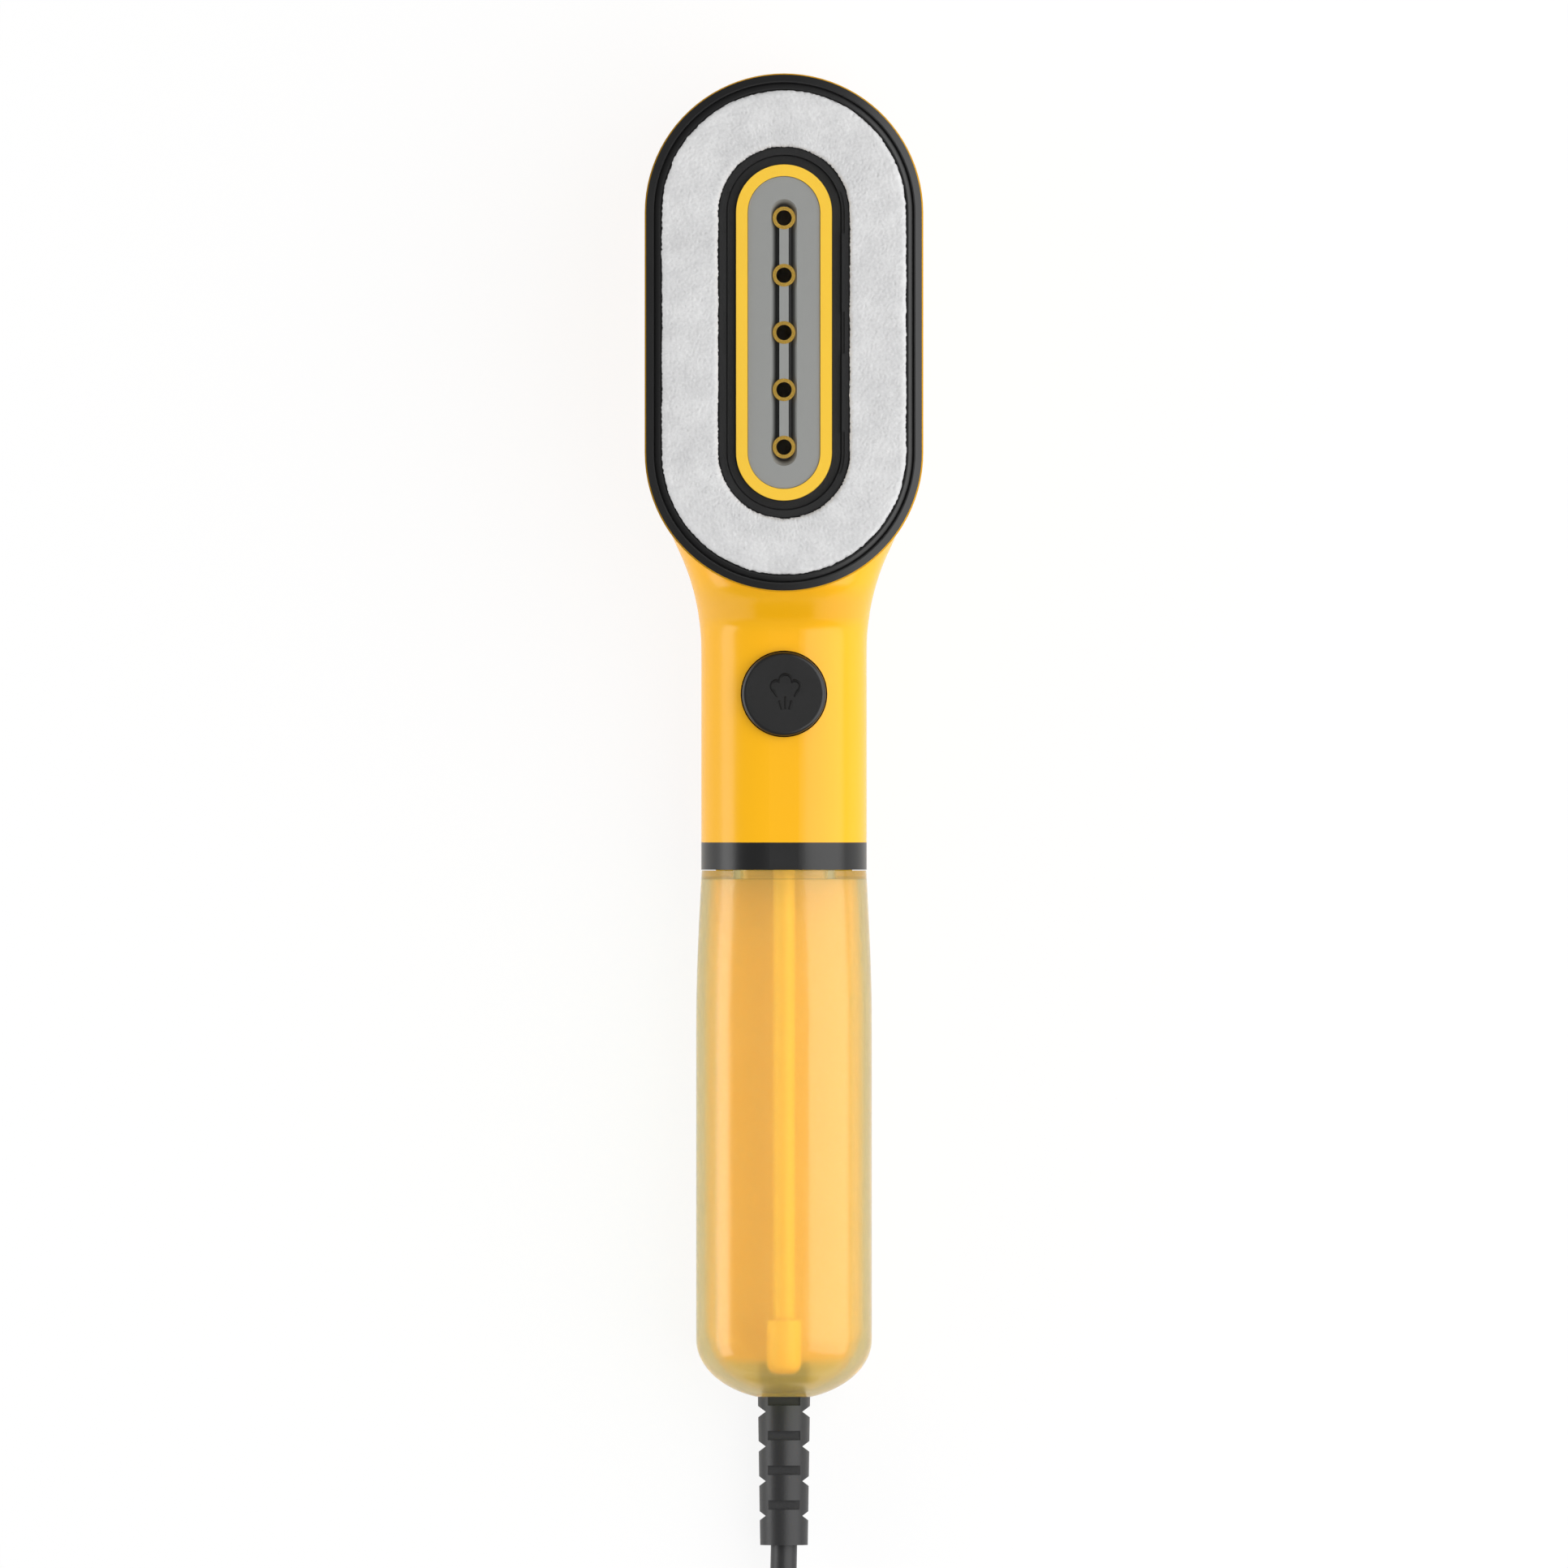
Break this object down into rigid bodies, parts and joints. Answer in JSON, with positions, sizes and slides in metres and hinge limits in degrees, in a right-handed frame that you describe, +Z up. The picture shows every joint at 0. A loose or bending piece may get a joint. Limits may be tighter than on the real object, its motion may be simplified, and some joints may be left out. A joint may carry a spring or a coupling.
{
  "type": "handheld garment steamer",
  "caption": "Handheld garment steamer with a slot-shaped steam head, a fabric pad round its nozzles, a round steam button and a see-through tank on the grip.",
  "frame": {"origin": "middle of the steamer without its cord, on the surface that it lies on", "axes": "+Y from the cord end to the top of the head, +Z up out of the steam face, +X to the right seen from above"},
  "size_m": [0.0983, 0.4834, 0.0585],
  "materials": {
    "yellow_shell": "glossy moulded plastic",
    "amber_tank": "clear tinted plastic",
    "black_plastic": "satin black plastic",
    "pad_fabric": "short grey pile",
    "yellow_rubber": "satin silicone",
    "grey_plate": "grey coated plate",
    "brass": "polished brass",
    "boiler_metal": "cast aluminium",
    "heater_steel": "dull steel",
    "screw_steel": "zinc plated steel",
    "white_rubber": "translucent silicone",
    "white_plastic": "natural nylon",
    "copper_winding": "varnished copper wire",
    "board_green": "circuit board",
    "switch_black": "moulded switch",
    "wire_cover": "wire insulation",
    "cord_black": "satin cord jacket",
    "tie_black": "woven tie"
  },
  "bodies": {
    "housing": {"front_shell": "yellow_shell", "rear_shell": "yellow_shell", "spine_cover": "yellow_shell", "face_plate": "black_plastic", "dock_collar": "black_plastic", "plug_body": "black_plastic", "ring_seal": "yellow_rubber", "nozzle_plate": "grey_plate", "nozzle_eyelets": "brass", "plug_blades": "brass", "boiler_base": "boiler_metal", "boiler_cover": "boiler_metal", "heater_rod": "heater_steel", "thermostat": "heater_steel", "pump_yoke": "heater_steel", "housing_screws": "screw_steel", "spine_screws": "screw_steel", "boiler_screws": "screw_steel", "clamp_screws": "screw_steel", "button_spring": "screw_steel", "pump_spring": "screw_steel", "boiler_gasket": "white_rubber", "neck_seal": "white_rubber", "inlet_hose": "white_rubber", "outlet_hose": "white_rubber", "suction_tube": "white_rubber", "pump_barrel": "white_plastic", "switch_carrier": "white_plastic", "suction_filter": "white_plastic", "cord_clamp": "white_plastic", "thermal_fuse": "white_plastic", "pump_winding": "copper_winding", "control_board": "board_green", "microswitch": "switch_black", "core_wires": "wire_cover", "strain_relief": "cord_black", "inner_lead": "cord_black", "power_cord": "cord_black", "cord_coil": "cord_black", "cord_ties": "tie_black"},
    "button": {"steam_button": "black_plastic"},
    "plunger": {"switch_plunger": "switch_black"},
    "tank": {"tank_body": "amber_tank", "tank_lid": "amber_tank"},
    "pad": {"pad_frame": "black_plastic", "fabric_pad": "pad_fabric"},
    "piston": {"pump_piston": "heater_steel"}
  },
  "joints": [
    {"name": "button_press", "type": "slide", "parent": "housing", "child": "button", "axis": [0, 0, -1], "range_m": [0, 0.0018], "stiffness_N_per_m": 400, "springref_m": -0.001, "deforming": ["button_spring"]},
    {"name": "plunger_press", "type": "slide", "parent": "housing", "child": "plunger", "axis": [0, 0, -1], "range_m": [0, 0.0018]},
    {"name": "tank_slide", "type": "slide", "parent": "housing", "child": "tank", "axis": [0, -1, 0], "range_m": [0, 0.045]},
    {"name": "pad_pull", "type": "slide", "parent": "housing", "child": "pad", "axis": [0, 0, 1], "range_m": [0, 0.03]},
    {"name": "piston_stroke", "type": "slide", "parent": "housing", "child": "piston", "axis": [0, 1, 0], "range_m": [0, 0.002], "stiffness_N_per_m": 300, "springref_m": -0.001, "deforming": ["pump_spring"]}
  ],
  "couplings": [
    {"joint": "plunger_press", "follows": "button_press", "ratio": 1}
  ]
}
